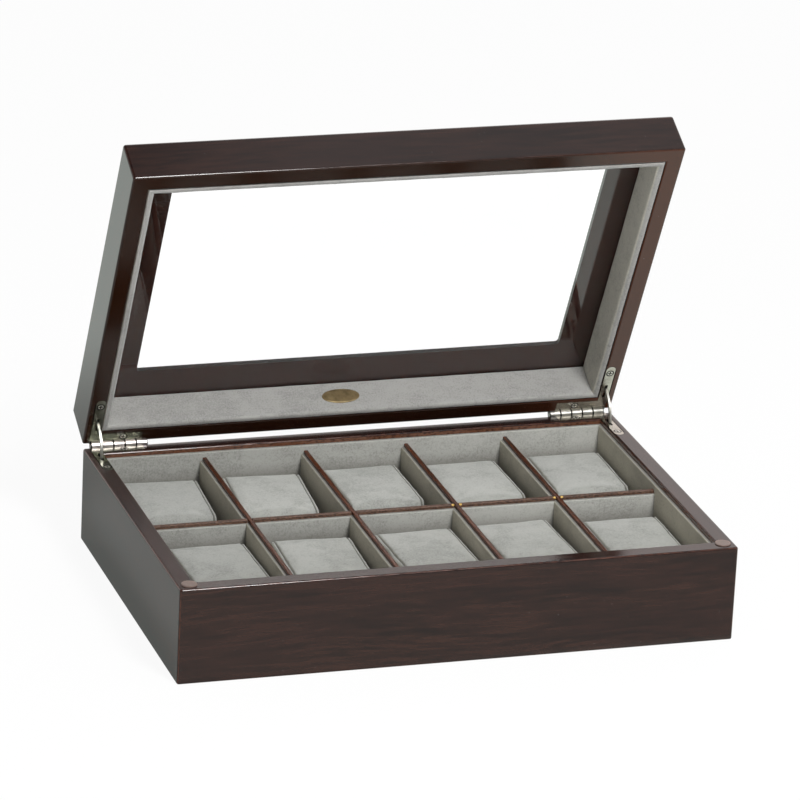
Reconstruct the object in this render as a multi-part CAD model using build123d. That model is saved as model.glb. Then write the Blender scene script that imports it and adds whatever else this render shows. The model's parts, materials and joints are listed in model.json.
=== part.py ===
from build123d import *

import os
from math import atan2, degrees, radians, sin

# A glazed display box for ten watches, in millimetres. +X runs along the hinge line,
# +Y points to the hinges and +Z up. The origin is the middle of the underside.
# The lid is modelled shut and is then swung open on its hinge pins.

# Case
case_width = 350.0
case_depth = 232.8
base_height = 60.6
lid_height = 29.8
rim_gap = 0.8  # between the two rims when the lid is shut
wall = 11.0
corner_round = 1.6  # upright outer corners
rim_round = 1.3  # both edges of each rim
foot_round = 1.0
mitre_overrun = 0.25  # how far a mitre cutter runs past its ring, as a share of the ring's width

# Base bottom and lining
bottom_thickness = 4.0
bottom_rebate = 5.0
bottom_play = 0.1
floor_liner_thickness = 2.0
base_liner = 1.6
base_liner_drop = 3.2  # from the rim down to the liner's top edge
liner_edge_round = 1.2

# Egg-crate dividers
columns = 5
divider_board = 2.8
divider_drop = 6.6  # from the rim down to the long dividers' tops
cross_drop = 6.8
lap_play = 0.25
facing = 1.6
facing_drop = 2.2  # from a board's top down to its facings' tops
board_round = 0.8

# Cushions
cushion_width = 51.0
cushion_length = 65.0
cushion_top = 42.5  # height of a cushion's top above the underside of the case
cushion_play = 0.3
cushion_top_round = 9.0
cushion_foot_round = 5.0
cushion_end_round = 1.5
# How each cushion was left in its compartment, as shares of the slack: across, from the
# middle towards +X; along, from the middle towards +Y; and the turn, clockwise from above.
cushion_rests = {
    "rear_1": (0.0, 0.98, 0.47),
    "rear_2": (-0.22, 0.89, 0.59),
    "rear_3": (0.08, 0.92, -0.08),
    "rear_4": (-0.14, 0.68, -0.15),
    "rear_5": (0.77, 0.76, 0.09),
    "front_1": (0.95, 0.88, -0.19),
    "front_2": (0.60, 0.82, 0.36),
    "front_3": (0.97, 0.83, -0.24),
    "front_4": (0.07, 0.97, -0.31),
    "front_5": (0.58, 0.49, 0.0),
}

# Lid top and lining
top_thickness = 5.0
side_border = 35.4  # of the glazed opening, from the case's sides
end_border = 36.0  # from the case's front and back
opening_round = 2.0
glass_thickness = 2.0  # let into the undersides of the rails, as far as the walls
glass_play = 0.3
top_round = 1.9
lid_liner = 3.9
lid_liner_play = 0.3
lid_liner_round = 2.4
lid_liner_back_round = 0.7
lid_liner_top_round = 1.3  # where it holds the glass

# Plate on the lid's back liner
plate_width = 24.5
plate_height = 11.5
plate_thickness = 0.8
plate_rise = 12.4  # of its centre, above the lid's rim
plate_shift = -6.0  # along X
plate_round = 0.35

# Bumpers
bumper_diameter = 9.7
bumper_height = 0.7
bumper_inset = 7.5
bumper_round = 0.3

# Hinges, by the left one; the right one is its mirror image
lid_open_angle = 63.8
pin_behind = 1.6  # behind the case's back
pin_diameter = 2.2
pin_play = 0.05
pin_chamfer = 0.3
barrel_diameter = 5.5
barrel_start = 5.2  # from the case's side
barrel_play = 0.25
knuckles = 5
knuckle_pitch = 7.3
knuckle_gap = 0.15
leaf_thickness = 1.5
leaf_width = 6.2
leaf_play = 0.15
side_leg_inset = 7.3  # its middle, from the case's side
side_leg_reach = 39.3  # its rounded end, from the case's back
back_leg_reach = 38.0  # its end, from the case's side
back_leg_inset = 5.1  # its middle, from the case's back
trench_width = 0.7  # slot left by the router on the outer side of the side leg
trench_reach = 36.0
side_screw_reach = 33.4  # from the case's back
back_screw_reach = 25.6  # from the case's side

# Hinge screws
screw_head = 4.4
screw_head_depth = 1.2
screw_shank = 2.2
screw_length = 12.0
screw_play = 0.05
screw_cross_width = 0.5
screw_cross_length = 2.6
screw_cross_depth = 0.6
screw_tip = 2.0

# Stay arms
arm_radius = 20.3  # from the pin to the arm's middle
arm_width = 2.2
arm_thickness = 1.3
arm_play = 0.25
arm_head_thickness = 2.6
arm_head_angle = 4.5
arm_head_start = 6.2  # how far below its leaf's rim plane a head begins, as an angle about the pin
mortise_margin_angle = 1.5
slot_reach = 24.0  # far end of a leaf's arm slot, from the pin
slot_start = 13.0  # near end

half_width = case_width / 2
half_depth = case_depth / 2
pin_y = half_depth + pin_behind
pin_z = base_height + rim_gap / 2
lid_rim = base_height + rim_gap
lid_under = lid_rim + lid_height - top_thickness
lid_top = lid_rim + lid_height
floor_top = bottom_thickness + floor_liner_thickness
inside_width = case_width - 2 * (wall + base_liner)
inside_depth = case_depth - 2 * (wall + base_liner)
divider_thickness = divider_board + 2 * facing
cell_width = (inside_width - (columns - 1) * divider_thickness) / columns
cell_depth = (inside_depth - divider_thickness) / 2
cell_pitch = cell_width + divider_thickness
long_top = base_height - divider_drop
cross_top = base_height - cross_drop
side_leg_x = side_leg_inset - half_width
barrel_length = knuckles * knuckle_pitch
barrel_x = barrel_start - half_width
hinge_axis = Axis((0, pin_y, pin_z), (1, 0, 0))
pin_plane = Plane((0, 0, pin_z), z_dir=(0, 0, 1))


def block(x_from, x_to, y_from, y_to, z_from, z_to):
    """A box between two corners."""
    low = (Align.MIN, Align.MIN, Align.MIN)
    return Pos(x_from, y_from, z_from) * Box(x_to - x_from, y_to - y_from, z_to - z_from, align=low)


def centred(width, depth, z_from, z_to):
    """A box about the Z axis."""
    return block(-width / 2, width / 2, -depth / 2, depth / 2, z_from, z_to)


def lying(radius, x_from, x_to, y, z):
    """A cylinder along X."""
    along = Rot(0, 90, 0) * Cylinder(radius, x_to - x_from, align=(Align.CENTER, Align.CENTER, Align.MIN))
    return Pos(x_from, y, z) * along


def upright_edges(shape):
    return shape.edges().filter_by(Axis.Z)


def edges_at(shape, z, width, depth):
    """A ring's edges in a level plane, on the rectangle of this width and depth."""
    level = shape.edges().filter_by_position(Axis.Z, z - 0.01, z + 0.01)
    on_rectangle = []
    for edge in level:
        middle = edge.center()
        near_side = abs(abs(middle.X) - width / 2) < 1.0
        near_end = abs(abs(middle.Y) - depth / 2) < 1.0
        if near_side or near_end:
            on_rectangle.append(edge)
    return on_rectangle


def mitred(ring, width, depth, side_width, end_width):
    """A four-sided ring cut along its mitres."""
    out_x = width / 2 + mitre_overrun * side_width
    out_y = depth / 2 + mitre_overrun * end_width
    in_x = width / 2 - (1 + mitre_overrun) * side_width
    in_y = depth / 2 - (1 + mitre_overrun) * end_width
    outlines = {
        "front": [(-out_x, -out_y), (out_x, -out_y), (in_x, -in_y), (-in_x, -in_y)],
        "back": [(-out_x, out_y), (out_x, out_y), (in_x, in_y), (-in_x, in_y)],
        "left": [(-out_x, -out_y), (-out_x, out_y), (-in_x, in_y), (-in_x, -in_y)],
        "right": [(out_x, -out_y), (out_x, out_y), (in_x, in_y), (in_x, -in_y)],
    }
    pieces = {}
    for side, outline in outlines.items():
        cutter = extrude(make_face(Polyline(*outline, close=True)), lid_top + rim_gap, both=True)
        pieces[side] = ring & cutter
    return pieces


def swung_open(shape):
    return shape.rotate(hinge_axis, -lid_open_angle)


def save(name, shape):
    export_step(shape, f"parts/{name}.step")


def sector(radius_in, radius_out, angle_from, angle_to, x, thickness):
    """A stretch of flat bar bent about the pin; angles rise from the direction of the case's front."""
    plane = Plane((x + thickness / 2, pin_y, pin_z), x_dir=(0, -1, 0), z_dir=(-1, 0, 0))
    sweep_angle = angle_to - angle_from
    outer = CenterArc((0, 0), radius_out, angle_from, sweep_angle)
    inner = CenterArc((0, 0), radius_in, angle_from, sweep_angle)
    ends = [Line(outer @ 0, inner @ 0), Line(outer @ 1, inner @ 1)]
    return extrude(plane * make_face([outer, inner] + ends), thickness)


def leaf_outline(play):
    """The left hinge's L-shaped leaf in plan, from its rounded end to the case's back."""
    side_leg_end = half_depth - side_leg_reach + leaf_width / 2
    half_leg = leaf_width / 2 + play
    side_leg = Rectangle(2 * half_leg, half_depth - side_leg_end)
    side_leg = Pos(side_leg_x, (side_leg_end + half_depth) / 2) * side_leg
    rounded_end = Pos(side_leg_x, side_leg_end) * Circle(half_leg)
    back_from = side_leg_x - half_leg
    back_to = back_leg_reach - half_width + play
    back_depth = back_leg_inset + leaf_width / 2 + play
    back_leg = Rectangle(back_to - back_from, back_depth)
    back_leg = Pos((back_from + back_to) / 2, half_depth - back_depth / 2) * back_leg
    return side_leg + rounded_end + back_leg


def knuckle_span(index):
    start = barrel_x + index * knuckle_pitch
    return start, start + knuckle_pitch


def screw_places():
    """The two screws of a left leaf, in plan."""
    side = (side_leg_x, half_depth - side_screw_reach)
    back = (back_screw_reach - half_width, half_depth - back_leg_inset)
    return [side, back]


def screw(x, y):
    """A countersunk cross-head screw whose head lies level with the base's rim."""
    centred_top = (Align.CENTER, Align.CENTER, Align.MAX)
    head = Pos(x, y, base_height) * Cone(screw_shank / 2, screw_head / 2, screw_head_depth, align=centred_top)
    shank_top = base_height - screw_head_depth
    shank_length = screw_length - screw_head_depth - screw_tip
    shank = Pos(x, y, shank_top) * Cylinder(screw_shank / 2, shank_length, align=centred_top)
    tip = Pos(x, y, shank_top - shank_length) * Cone(0, screw_shank / 2, screw_tip, align=centred_top)
    body = head + shank + tip
    cross = Box(screw_cross_length, screw_cross_width, 2 * screw_cross_depth)
    cross = cross + Box(screw_cross_width, screw_cross_length, 2 * screw_cross_depth)
    return body - Pos(x, y, base_height) * cross


def screw_hole(x, y):
    """The hole that clears one screw, through its leaf and into the wood."""
    centred_top = (Align.CENTER, Align.CENTER, Align.MAX)
    radius = screw_shank / 2 + screw_play
    sink = Cone(radius, screw_head / 2 + screw_play, screw_head_depth, align=centred_top)
    return Pos(x, y, base_height) * (sink + Cylinder(radius, screw_length + screw_play, align=centred_top))


def arm_mortise():
    """The curved pocket that a stay arm slides into, under the base's leaf."""
    swing = lid_open_angle / 2
    deepest = arm_head_start + arm_head_angle + swing + mortise_margin_angle
    half_bar = arm_width / 2 + arm_play
    thickness = arm_head_thickness + 2 * arm_play
    return sector(arm_radius - half_bar, arm_radius + half_bar, -deepest, 0, side_leg_x, thickness)


def hinge_cuts():
    """All that the left hinge takes out of the base's rim."""
    recess_floor = base_height - leaf_thickness
    recess = Pos(0, 0, recess_floor) * extrude(leaf_outline(leaf_play), leaf_thickness + rim_gap / 2)
    trench_from = side_leg_x - leaf_width / 2 - trench_width
    trench_y = half_depth - trench_reach
    trench = block(trench_from, side_leg_x, trench_y, half_depth - back_leg_inset, recess_floor, pin_z)
    barrel_radius = barrel_diameter / 2 + barrel_play
    barrel_end = barrel_x + barrel_length
    barrel = lying(barrel_radius, barrel_x - barrel_play, barrel_end + barrel_play, pin_y, pin_z)
    cuts = recess + trench + barrel + arm_mortise()
    for x, y in screw_places():
        cuts = cuts + screw_hole(x, y)
    return cuts


def leaf(first_knuckle):
    """A left hinge leaf as it lies in the base's rim, with every second knuckle from the first."""
    plate = Pos(0, 0, base_height - leaf_thickness) * extrude(leaf_outline(0), leaf_thickness)
    knuckle_radius = barrel_diameter / 2
    for index in range(knuckles):
        start, end = knuckle_span(index)
        if index % 2 == first_knuckle:
            own = lying(knuckle_radius, start + knuckle_gap / 2, end - knuckle_gap / 2, pin_y, pin_z)
            plate = plate + own
        else:
            plate = plate - lying(knuckle_radius + barrel_play, start, end, pin_y, pin_z)
    bore = lying(pin_diameter / 2 + pin_play, barrel_x, barrel_x + barrel_length, pin_y, pin_z)
    slot = Box(arm_thickness + 2 * arm_play, slot_reach - slot_start, 2 * leaf_thickness)
    slot_y = pin_y - (slot_start + slot_reach) / 2
    plate = plate - bore - Pos(side_leg_x, slot_y, base_height) * slot
    for x, y in screw_places():
        plate = plate - screw_hole(x, y)
    return plate


def stay_arm():
    """The left stay arm, with its heads under the two leaves of the open hinge."""
    radius_in = arm_radius - arm_width / 2
    radius_out = arm_radius + arm_width / 2
    heads = (-arm_head_start - arm_head_angle, lid_open_angle + arm_head_start)
    bar = sector(radius_in, radius_out, heads[0], heads[1] + arm_head_angle, side_leg_x, arm_thickness)
    for start in heads:
        end = start + arm_head_angle
        bar = bar + sector(radius_in, radius_out, start, end, side_leg_x, arm_head_thickness)
    return bar


def cushion(rest):
    """A watch cushion as it was left in its compartment, at the origin of that compartment's floor."""
    across, along, turn = rest
    height = cushion_top - floor_top - cushion_play
    body = block(-cushion_width / 2, cushion_width / 2, -cushion_length / 2, cushion_length / 2, 0, height)
    long_edges = body.edges().filter_by(Axis.X).sort_by(Axis.Z)
    body = fillet(long_edges[2:], min(cushion_top_round, height / 3))
    foot_edges = body.edges().filter_by(Axis.X).filter_by_position(Axis.Z, -0.01, 0.01)
    body = fillet(foot_edges, min(cushion_foot_round, height / 4))
    end_faces = body.faces().filter_by(Axis.X)
    body = fillet(end_faces.edges(), cushion_end_round)
    side_slack = (cell_width - cushion_width) / 2 - cushion_play
    end_slack = (cell_depth - cushion_length) / 2 - cushion_play
    turn_angle = degrees(atan2(2 * side_slack * turn, cushion_length))
    half_turned = cushion_length / 2 * abs(sin(radians(turn_angle)))
    shift_x = across * (side_slack - half_turned)
    half_turned_end = cushion_width / 2 * abs(sin(radians(turn_angle)))
    shift_y = along * (end_slack - half_turned_end)
    return Pos(shift_x, shift_y, cushion_play) * Rot(0, 0, -turn_angle) * body


def base_walls():
    body = centred(case_width, case_depth, 0, base_height)
    body = fillet(upright_edges(body), corner_round)
    body = fillet(body.faces().sort_by(Axis.Z)[-1].edges(), rim_round)
    body = fillet(body.faces().sort_by(Axis.Z)[0].edges(), foot_round)
    inner_width = case_width - 2 * wall
    inner_depth = case_depth - 2 * wall
    body = body - centred(inner_width, inner_depth, 0, base_height)
    body = fillet(edges_at(body, base_height, inner_width, inner_depth), rim_round)
    rebate_width = inner_width + 2 * bottom_rebate
    rebate_depth = inner_depth + 2 * bottom_rebate
    body = body - centred(rebate_width, rebate_depth, 0, bottom_thickness)
    cuts = hinge_cuts()
    body = body - cuts - mirror(cuts, about=Plane.YZ)
    for side, piece in mitred(body, case_width, case_depth, wall, wall).items():
        save(f"base_{side}_wall", piece)
    panel = centred(rebate_width - 2 * bottom_play, rebate_depth - 2 * bottom_play, 0, bottom_thickness)
    save("bottom_panel", panel)


def base_lining():
    inner_width = case_width - 2 * wall
    inner_depth = case_depth - 2 * wall
    save("floor_liner", centred(inner_width, inner_depth, bottom_thickness, floor_top))
    liner_top = base_height - base_liner_drop
    ring = centred(inner_width, inner_depth, floor_top, liner_top)
    ring = ring - centred(inside_width, inside_depth, floor_top, liner_top)
    top_round_limit = min(liner_edge_round, 0.7 * base_liner)
    ring = fillet(edges_at(ring, liner_top, inside_width, inside_depth), top_round_limit)
    for side, piece in mitred(ring, inner_width, inner_depth, base_liner, base_liner).items():
        save(f"base_{side}_liner", piece)


def divider_x(index):
    """The middle of a long divider, counted from the left."""
    return -inside_width / 2 + (index + 1) * cell_pitch - divider_thickness / 2


def facing_board(x_from, x_to, y_from, y_to, top, outer):
    """A suede facing with its top outer edge rounded over; outer is the direction it faces."""
    board = block(x_from, x_to, y_from, y_to, floor_top, top)
    top_edges = board.faces().sort_by(Axis.Z)[-1].edges()
    edge = top_edges.sort_by(lambda e: e.center().dot(Vector(*outer)))[-1]
    return fillet(edge, min(liner_edge_round, 0.7 * facing))


def dividers():
    half_board = divider_board / 2
    slot_half = half_board + lap_play
    lap_height = (floor_top + cross_top) / 2
    cross = block(-inside_width / 2, inside_width / 2, -half_board, half_board, floor_top, cross_top)
    cross = fillet(cross.faces().sort_by(Axis.Z)[-1].edges().filter_by(Axis.X), board_round)
    half_inside = inside_depth / 2
    rows = ((-half_inside, -half_board), (half_board, half_inside))
    for index in range(columns - 1):
        x = divider_x(index)
        cross = cross - block(x - slot_half, x + slot_half, -wall, wall, lap_height, base_height)
        board = block(x - half_board, x + half_board, -half_inside, half_inside, floor_top, long_top)
        board = fillet(board.faces().sort_by(Axis.Z)[-1].edges().filter_by(Axis.Y), board_round)
        board = board - block(x - wall, x + wall, -slot_half, slot_half, floor_top, lap_height + lap_play)
        save(f"long_divider_{index + 1}", board)
        facings = []
        for y_from, y_to in rows:
            left = x - half_board - facing
            right = x + half_board
            top = long_top - facing_drop
            facings.append(facing_board(left, left + facing, y_from, y_to, top, (-1, 0, 0)))
            facings.append(facing_board(right, right + facing, y_from, y_to, top, (1, 0, 0)))
        save(f"long_divider_{index + 1}_facings", Compound(children=facings))
    save("cross_divider", cross)
    cross_facings = []
    for index in range(columns):
        x_from = -inside_width / 2 + index * cell_pitch
        x_to = x_from + cell_width
        top = cross_top - facing_drop
        cross_facings.append(facing_board(x_from, x_to, -half_board - facing, -half_board, top, (0, -1, 0)))
        cross_facings.append(facing_board(x_from, x_to, half_board, half_board + facing, top, (0, 1, 0)))
    save("cross_divider_facings", Compound(children=cross_facings))


def cushions():
    cell_y = (cell_depth + divider_thickness) / 2
    for name, rest in cushion_rests.items():
        row, column = name.split("_")
        x = -inside_width / 2 + cell_width / 2 + (int(column) - 1) * cell_pitch
        y = cell_y if row == "rear" else -cell_y
        save(f"cushion_{name}", Pos(x, y, floor_top) * cushion(rest))


def bumpers():
    y = bumper_inset - half_depth
    for side, x in (("left", bumper_inset - half_width), ("right", half_width - bumper_inset)):
        disc = Cylinder(bumper_diameter / 2, bumper_height, align=(Align.CENTER, Align.CENTER, Align.MIN))
        disc = fillet(disc.edges().sort_by(Axis.Z)[-1], bumper_round)
        save(f"{side}_bumper", Pos(x, y, base_height) * disc)


def lid_walls():
    body = centred(case_width, case_depth, lid_rim, lid_under)
    body = fillet(upright_edges(body), corner_round)
    body = fillet(body.faces().sort_by(Axis.Z)[0].edges(), rim_round)
    inner_width = case_width - 2 * wall
    inner_depth = case_depth - 2 * wall
    body = body - centred(inner_width, inner_depth, lid_rim, lid_under)
    body = fillet(edges_at(body, lid_rim, inner_width, inner_depth), rim_round)
    cuts = mirror(hinge_cuts(), about=pin_plane)
    body = body - cuts - mirror(cuts, about=Plane.YZ)
    for side, piece in mitred(body, case_width, case_depth, wall, wall).items():
        save(f"lid_{side}_wall", swung_open(piece))


def lid_top_frame():
    opening_width = case_width - 2 * side_border
    opening_depth = case_depth - 2 * end_border
    frame = centred(case_width, case_depth, lid_under, lid_top)
    frame = fillet(upright_edges(frame), corner_round)
    frame = fillet(frame.faces().sort_by(Axis.Z)[-1].edges(), min(top_round, 0.45 * top_thickness))
    opening = centred(opening_width, opening_depth, lid_under, lid_top)
    frame = frame - fillet(upright_edges(opening), opening_round)
    bed_width = case_width - 2 * wall
    bed_depth = case_depth - 2 * wall
    seat = lid_under + glass_thickness
    frame = frame - centred(bed_width, bed_depth, lid_under, seat)
    for side, piece in mitred(frame, case_width, case_depth, side_border, end_border).items():
        save(f"lid_top_{side}_rail", swung_open(piece))
    pane = centred(bed_width - 2 * glass_play, bed_depth - 2 * glass_play, lid_under, seat)
    save("glass_pane", swung_open(pane))


def lid_lining():
    outer_width = case_width - 2 * (wall + lid_liner_play)
    outer_depth = case_depth - 2 * (wall + lid_liner_play)
    inner_width = outer_width - 2 * lid_liner
    inner_depth = outer_depth - 2 * lid_liner
    ring = centred(outer_width, outer_depth, lid_rim, lid_under)
    ring = ring - centred(inner_width, inner_depth, lid_rim, lid_under)
    inner_round = min(lid_liner_round, 0.65 * lid_liner)
    outer_round = min(lid_liner_back_round, 0.2 * lid_liner)
    top_edge_round = min(lid_liner_top_round, 0.6 * lid_liner)
    ring = fillet(edges_at(ring, lid_rim, inner_width, inner_depth), inner_round)
    ring = fillet(edges_at(ring, lid_rim, outer_width, outer_depth), outer_round)
    ring = fillet(edges_at(ring, lid_under, inner_width, inner_depth), top_edge_round)
    for side, piece in mitred(ring, outer_width, outer_depth, lid_liner, lid_liner).items():
        save(f"lid_{side}_liner", swung_open(piece))
    face_y = inner_depth / 2
    face = Plane((plate_shift, face_y, lid_rim + plate_rise), x_dir=(-1, 0, 0), z_dir=(0, -1, 0))
    plate = extrude(face * Ellipse(plate_width / 2, plate_height / 2), plate_thickness)
    plate = fillet(plate.edges().sort_by(Axis.Y)[0], plate_round)
    save("oval_plate", swung_open(plate))


def hinges():
    base_leaf = leaf(0)
    lid_leaf = swung_open(mirror(leaf(1), about=pin_plane))
    pin = lying(pin_diameter / 2, barrel_x, barrel_x + barrel_length, pin_y, pin_z)
    pin = chamfer(pin.edges().filter_by(GeomType.CIRCLE), pin_chamfer)
    arm = stay_arm()
    screws = [screw(x, y) for x, y in screw_places()]
    lid_screws = [swung_open(mirror(each, about=pin_plane)) for each in screws]
    pieces = {"base_leaf": base_leaf, "lid_leaf": lid_leaf, "hinge_pin": pin, "stay_arm": arm}
    for name, piece in pieces.items():
        save(f"left_{name}", piece)
        save(f"right_{name}", mirror(piece, about=Plane.YZ))
    for name, group in (("base_hinge_screws", screws), ("lid_hinge_screws", lid_screws)):
        both_sides = group + [mirror(each, about=Plane.YZ) for each in group]
        save(name, Compound(children=both_sides))


os.makedirs("parts", exist_ok=True)
base_walls()
base_lining()
dividers()
cushions()
bumpers()
lid_walls()
lid_top_frame()
lid_lining()
hinges()
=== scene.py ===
import json
import math

import bpy
from mathutils import Matrix, Vector, noise


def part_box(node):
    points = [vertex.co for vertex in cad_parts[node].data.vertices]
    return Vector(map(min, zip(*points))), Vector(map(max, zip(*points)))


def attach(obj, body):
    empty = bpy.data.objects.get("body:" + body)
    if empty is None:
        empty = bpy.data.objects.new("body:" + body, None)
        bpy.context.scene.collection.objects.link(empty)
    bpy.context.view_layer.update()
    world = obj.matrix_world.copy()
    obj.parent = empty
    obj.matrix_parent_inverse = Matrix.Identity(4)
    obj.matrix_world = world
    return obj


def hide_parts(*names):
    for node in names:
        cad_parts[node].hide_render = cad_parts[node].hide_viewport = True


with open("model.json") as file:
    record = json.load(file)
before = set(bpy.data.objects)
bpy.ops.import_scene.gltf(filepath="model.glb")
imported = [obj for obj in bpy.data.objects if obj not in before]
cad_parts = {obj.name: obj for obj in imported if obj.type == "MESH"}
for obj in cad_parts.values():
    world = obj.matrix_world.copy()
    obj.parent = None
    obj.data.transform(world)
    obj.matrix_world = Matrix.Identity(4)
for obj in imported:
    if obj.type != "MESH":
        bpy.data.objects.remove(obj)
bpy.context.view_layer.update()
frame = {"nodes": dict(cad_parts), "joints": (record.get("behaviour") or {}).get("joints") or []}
nodes = frame["nodes"]
mm = 0.001
print("watch box: frame loaded,", len(nodes), "pieces")

# the lid is drawn open; this is how it turns about the hinge pins
lidHinge = next(joint for joint in frame["joints"] if joint["name"] == "lid_hinge")
pinPlace = Vector(lidHinge["pos_m"])
openAngle = math.radians(-lidHinge["range_deg"][0])
closeLid = Matrix.Translation(pinPlace) @ Matrix.Rotation(openAngle, 4, "X") @ Matrix.Translation(-pinPlace)
quarterTurn = Matrix.Rotation(math.radians(90), 4, "Z")
asDrawn = Matrix.Identity(4)


def newGroup(name, inputs, outputs):
    group = bpy.data.node_groups.new(name, "ShaderNodeTree")
    for direction, sockets in (("INPUT", inputs), ("OUTPUT", outputs)):
        for socketName, kind in sockets.items():
            group.interface.new_socket(socketName, in_out=direction, socket_type="NodeSocket" + kind)
    return group, group.nodes.new("NodeGroupInput").outputs, group.nodes.new("NodeGroupOutput")


def newMaterial(name):
    material = bpy.data.materials.new(name)
    material.use_nodes = True
    return material, material.node_tree, material.node_tree.nodes["Principled BSDF"]


def setSockets(node, values):
    for socketName, value in values.items():
        node.inputs[socketName].default_value = value


def feed(tree, node, sources):
    for socketName, source in sources.items():
        tree.links.new(source, node.inputs[socketName])


def newNode(tree, kind):
    return tree.nodes.new("ShaderNode" + kind)


def mathNode(tree, operation, first, second=None, clamp=False):
    node = newNode(tree, "Math")
    node.operation = operation
    node.use_clamp = clamp
    for socket, value in zip(node.inputs, (first, second)):
        if hasattr(value, "links"):
            tree.links.new(value, socket)
        elif value is not None:
            socket.default_value = value
    return node.outputs[0]


def times(tree, first, second):
    return mathNode(tree, "MULTIPLY", first, second)


def plus(tree, first, second):
    return mathNode(tree, "ADD", first, second)


def minus(tree, first, second):
    return mathNode(tree, "SUBTRACT", first, second)


def larger(tree, first, second):
    return mathNode(tree, "MAXIMUM", first, second)


def isBelow(tree, value, limit):
    return mathNode(tree, "LESS_THAN", value, limit)


def isAbove(tree, value, limit):
    return mathNode(tree, "GREATER_THAN", value, limit)


def unsigned(tree, value):
    return mathNode(tree, "ABSOLUTE", value)


def axesOf(tree, vector):
    node = newNode(tree, "SeparateXYZ")
    tree.links.new(vector, node.inputs[0])
    return node.outputs


def vectorNode(tree, operation, vector):
    node = newNode(tree, "VectorMath")
    node.operation = operation
    tree.links.new(vector, node.inputs[0])
    return node


def absoluteOf(tree, vector):
    return axesOf(tree, vectorNode(tree, "ABSOLUTE", vector).outputs[0])


def distanceFrom(tree, vector, place):
    node = vectorNode(tree, "DISTANCE", vector)
    node.inputs[1].default_value = place
    return node.outputs["Value"]


def stretched(tree, vector, scale, offset=(0, 0, 0)):
    node = newNode(tree, "Mapping")
    tree.links.new(vector, node.inputs["Vector"])
    setSockets(node, {"Scale": scale, "Location": offset})
    return node.outputs[0]


def noiseNode(tree, vector, scale, detail=3.0, roughness=0.5, distortion=0.0):
    node = newNode(tree, "TexNoise")
    tree.links.new(vector, node.inputs["Vector"])
    setSockets(node, {"Scale": scale, "Detail": detail, "Roughness": roughness, "Distortion": distortion})
    return node.outputs["Fac"]


def rampMask(tree, value, low, high):
    node = newNode(tree, "MapRange")
    node.interpolation_type = "SMOOTHSTEP"
    tree.links.new(value, node.inputs["Value"])
    setSockets(node, {"From Min": low, "From Max": high})
    return node.outputs[0]


def spreadBetween(tree, value, ends, reach=(0.0, 1.0)):
    node = newNode(tree, "MapRange")
    tree.links.new(value, node.inputs["Value"])
    setSockets(node, {"From Min": reach[0], "From Max": reach[1], "To Min": ends[0], "To Max": ends[1]})
    return node.outputs[0]


def mixColors(tree, share, first, second, blend="MIX"):
    node = newNode(tree, "Mix")
    node.data_type = "RGBA"
    node.blend_type = blend
    for socket, value in ((node.inputs[0], share), (node.inputs[6], first), (node.inputs[7], second)):
        if hasattr(value, "links"):
            tree.links.new(value, socket)
        else:
            socket.default_value = value
    return node.outputs[2]


def bumpNode(tree, height, distance, strength=1.0, normal=None):
    node = newNode(tree, "Bump")
    setSockets(node, {"Strength": strength, "Distance": distance})
    tree.links.new(height, node.inputs["Height"])
    if normal is not None:
        tree.links.new(normal, node.inputs["Normal"])
    return node.outputs[0]


def tint(tree, share, first, second):
    return mixColors(tree, share, first, second, "MULTIPLY")


def color(red, green, blue):
    return (red, green, blue, 1.0)


white = color(1, 1, 1)


def makeGrainGroup():
    # long wood grain running along X, with figure, reddish streaks and fine pores
    group, given, end = newGroup("woodGrain", {
        "Vector": "Vector", "Dark": "Color", "Mid": "Color", "Warm": "Color",
        "Pores": "Float", "Streaks": "Float"}, {"Color": "Color", "Height": "Float"})
    vector = given["Vector"]
    drift = noiseNode(group, stretched(group, vector, (7, 16, 16)), 1.0, 2.0)
    driftVector = newNode(group, "CombineXYZ")
    sway = times(group, minus(group, drift, 0.5), 0.016)
    feed(group, driftVector, {"Y": sway, "Z": sway})
    added = vectorNode(group, "ADD", vector)
    feed(group, added, {1: driftVector.outputs[0]})
    swayed = added.outputs[0]
    bands = noiseNode(group, stretched(group, swayed, (7, 70, 70)), 1.0, 3.0, 0.55)
    fine = noiseNode(group, stretched(group, swayed, (26, 400, 400), (3, 1, 7)), 1.0, 4.0, 0.62)
    warmth = noiseNode(group, stretched(group, swayed, (8, 34, 34), (11, 5, 2)), 1.0, 2.0)
    pores = noiseNode(group, stretched(group, swayed, (75, 2300, 2300), (1, 9, 4)), 1.0, 1.0)
    poreMask = times(group, rampMask(group, pores, 0.56, 0.68), given["Pores"])
    bandMix = plus(group, times(group, bands, 0.45), times(group, fine, 0.55))
    body = mixColors(group, rampMask(group, bandMix, 0.34, 0.64), given["Dark"], given["Mid"])
    streak = times(group, rampMask(group, warmth, 0.36, 0.70), rampMask(group, fine, 0.36, 0.72))
    streak = times(group, streak, given["Streaks"])
    body = mixColors(group, streak, body, given["Warm"])
    darkPores = mixColors(group, times(group, poreMask, 0.7), body, given["Dark"])
    feed(group, end, {"Color": darkPores, "Height": minus(group, fine, poreMask)})
    return group


def makeEdgeGroup():
    # 1 where a surface turns between two flats, from a normal in the piece's own straight frame
    group, given, end = newGroup(
        "edgeRub", {"Vector": "Vector", "Normal": "Vector", "Amount": "Float"}, {"Mask": "Float"})
    parts = absoluteOf(group, given["Normal"])
    flattest = larger(group, larger(group, parts[0], parts[1]), parts[2])
    turned = rampMask(group, minus(group, 1.0, flattest), 0.01, 0.22)
    patchy = noiseNode(group, given["Vector"], 160.0, 4.0, 0.65)
    rubbed = times(group, turned, rampMask(group, patchy, 0.34, 0.66))
    feed(group, end, {"Mask": mathNode(group, "MULTIPLY", rubbed, given["Amount"], True)})
    return group


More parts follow.
